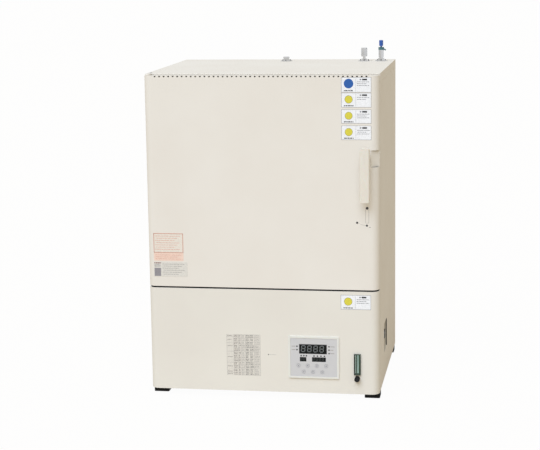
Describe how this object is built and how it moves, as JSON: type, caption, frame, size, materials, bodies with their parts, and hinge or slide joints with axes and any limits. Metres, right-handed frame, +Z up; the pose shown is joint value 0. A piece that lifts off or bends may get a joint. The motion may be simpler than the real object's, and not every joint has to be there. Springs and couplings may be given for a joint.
{
  "type": "inert gas oven",
  "caption": "Bench-top laboratory oven with a hinged front door, turning handle, gas ports on top and a control panel with a flowmeter below.",
  "frame": {"origin": "middle of the bounding box at the underside of the feet", "axes": "+X to the right as seen from the front, +Y to the back of the oven, +Z up; the door faces -Y"},
  "size_m": [0.7, 0.704, 1.047],
  "materials": {
    "cream_paint": "semi-gloss",
    "zinc_plate": "satin",
    "stainless": "satin",
    "bright_steel": "polished",
    "mineral_wool": "matt",
    "heater_sheath": "oxidised",
    "motor_enamel": "matt",
    "teal_enamel": "gloss",
    "blue_plastic": "matt",
    "silicone": "matt",
    "foot_rubber": "matt",
    "bush_bronze": "satin",
    "grip_plastic": "matt",
    "panel_plastic": "matt",
    "panel_film": "matt",
    "key_rubber": "matt",
    "display_glass": "gloss",
    "lamp_lens": "gloss",
    "clear_block": "clear",
    "float_ball": "gloss",
    "black_plastic": "matt"
  },
  "bodies": {
    "cabinet": {"base_tray": "cream_paint", "left_side": "cream_paint", "right_side": "cream_paint", "top_cover": "cream_paint", "back_panel": "cream_paint", "front_frame": "cream_paint", "deck": "zinc_plate", "lower_front_panel": "cream_paint", "chamber": "stainless", "seal_flange": "stainless", "insulation": "mineral_wool", "shelf_rails": "stainless", "lower_shelf": "bright_steel", "upper_shelf": "bright_steel", "fan_baffle": "stainless", "fan_motor": "motor_enamel", "heater_loops": "heater_sheath", "temperature_sensor": "stainless", "gas_pipes": "stainless", "port_flanges": "bright_steel", "middle_port_cap": "bright_steel", "port_stem": "bright_steel", "valve_body": "bright_steel", "valve_nut": "teal_enamel", "latch_keeper": "zinc_plate", "upper_hinge_plate": "cream_paint", "lower_hinge_plate": "zinc_plate", "feet": "foot_rubber", "controller_case": "panel_plastic", "panel_face": "panel_film", "display_windows": "display_glass", "indicator_lamps": "lamp_lens", "flowmeter_body": "clear_block", "breaker_recess": "cream_paint", "breaker_body": "black_plastic", "gas_inlet": "bright_steel", "cable_gland": "black_plastic"},
    "door": {"door_skin": "cream_paint", "door_core": "mineral_wool", "door_inner_pan": "stainless", "door_gasket": "silicone", "hinge_bushes": "bush_bronze", "latch_case": "cream_paint", "handle_collar": "cream_paint"},
    "handle": {"handle_grip": "grip_plastic", "latch_spindle": "stainless"},
    "fan": {"fan_impeller": "stainless", "fan_shaft": "stainless"},
    "float": {"flowmeter_float": "float_ball"},
    "flow_knob": {"flowmeter_knob": "black_plastic"},
    "breaker": {"breaker_toggle": "black_plastic"},
    "cap": {"port_cap": "bright_steel"},
    "valve": {"valve_knob": "blue_plastic"},
    "key_1": {"key_1": "key_rubber"},
    "key_2": {"key_2": "key_rubber"},
    "key_3": {"key_3": "key_rubber"},
    "key_4": {"key_4": "key_rubber"},
    "key_5": {"key_5": "key_rubber"},
    "key_6": {"key_6": "key_rubber"},
    "key_7": {"key_7": "key_rubber"}
  },
  "joints": [
    {"name": "door_hinge", "type": "hinge", "parent": "cabinet", "child": "door", "pos_m": [-0.34, -0.29, 0.66], "axis": [0, 0, -1], "range_deg": [0, 110]},
    {"name": "handle_turn", "type": "hinge", "parent": "door", "child": "handle", "pos_m": [0.3115, -0.31, 0.734], "axis": [0, 1, 0], "range_deg": [0, 45]},
    {"name": "fan_spin", "type": "hinge", "parent": "cabinet", "child": "fan", "pos_m": [0, 0.1345, 0.65875], "axis": [0, 1, 0], "continuous": true},
    {"name": "float_rise", "type": "slide", "parent": "cabinet", "child": "float", "axis": [0, 0, 1], "range_m": [0, 0.044]},
    {"name": "flow_knob_turn", "type": "hinge", "parent": "cabinet", "child": "flow_knob", "pos_m": [0.285, -0.31, 0.07], "axis": [0, 1, 0], "range_deg": [0, 300]},
    {"name": "breaker_throw", "type": "hinge", "parent": "cabinet", "child": "breaker", "pos_m": [0.334, -0.08, 0.147], "axis": [0, 1, 0], "range_deg": [0, 30]},
    {"name": "port_cap_turn", "type": "hinge", "parent": "cabinet", "child": "cap", "pos_m": [0.255, 0.2301, 1], "axis": [0, 0, 1], "range_deg": [0, 360]},
    {"name": "valve_turn", "type": "hinge", "parent": "cabinet", "child": "valve", "pos_m": [0.31, 0.2301, 1], "axis": [0, 0, 1], "range_deg": [0, 270]},
    {"name": "key_1_press", "type": "slide", "parent": "cabinet", "child": "key_1", "axis": [0, 1, 0], "range_m": [0, 0.0006], "stiffness_N_per_m": 400},
    {"name": "key_2_press", "type": "slide", "parent": "cabinet", "child": "key_2", "axis": [0, 1, 0], "range_m": [0, 0.0006], "stiffness_N_per_m": 400},
    {"name": "key_3_press", "type": "slide", "parent": "cabinet", "child": "key_3", "axis": [0, 1, 0], "range_m": [0, 0.0006], "stiffness_N_per_m": 400},
    {"name": "key_4_press", "type": "slide", "parent": "cabinet", "child": "key_4", "axis": [0, 1, 0], "range_m": [0, 0.0006], "stiffness_N_per_m": 400},
    {"name": "key_5_press", "type": "slide", "parent": "cabinet", "child": "key_5", "axis": [0, 1, 0], "range_m": [0, 0.0006], "stiffness_N_per_m": 400},
    {"name": "key_6_press", "type": "slide", "parent": "cabinet", "child": "key_6", "axis": [0, 1, 0], "range_m": [0, 0.0006], "stiffness_N_per_m": 400},
    {"name": "key_7_press", "type": "slide", "parent": "cabinet", "child": "key_7", "axis": [0, 1, 0], "range_m": [0, 0.0006], "stiffness_N_per_m": 400}
  ]
}
